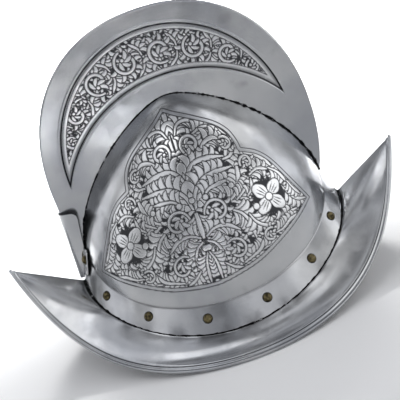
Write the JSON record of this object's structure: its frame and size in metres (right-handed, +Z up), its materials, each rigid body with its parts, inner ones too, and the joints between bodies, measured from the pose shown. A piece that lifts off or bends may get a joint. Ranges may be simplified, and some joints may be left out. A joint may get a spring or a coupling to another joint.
{
  "type": "comb morion helmet",
  "caption": "Open polished steel helmet with a tall thin comb, a boat-shaped brim peaked front and back, a riveted band and a plume holder behind.",
  "frame": {"origin": "on the surface that the brim rests on, under the middle of the helmet's box", "axes": "+X to the wearer's front, along the line from peak to peak, +Y to the wearer's left, +Z up"},
  "size_m": [0.3652, 0.2618, 0.2904],
  "materials": {
    "polished_steel": "polished, with fine scratches and dark seams",
    "aged_brass": "darkened, low sheen"
  },
  "bodies": {
    "root": {"skull": "polished_steel", "comb": "polished_steel", "brim": "polished_steel", "plume_holder": "polished_steel", "band_rivet_01": "aged_brass", "band_rivet_02": "aged_brass", "band_rivet_03": "aged_brass", "band_rivet_04": "aged_brass", "band_rivet_05": "aged_brass", "band_rivet_06": "aged_brass", "band_rivet_07": "aged_brass", "band_rivet_08": "aged_brass", "band_rivet_09": "aged_brass", "band_rivet_10": "aged_brass", "band_rivet_11": "aged_brass", "band_rivet_12": "aged_brass", "holder_rivet_right": "aged_brass", "holder_rivet_left": "aged_brass"}
  },
  "joints": []
}
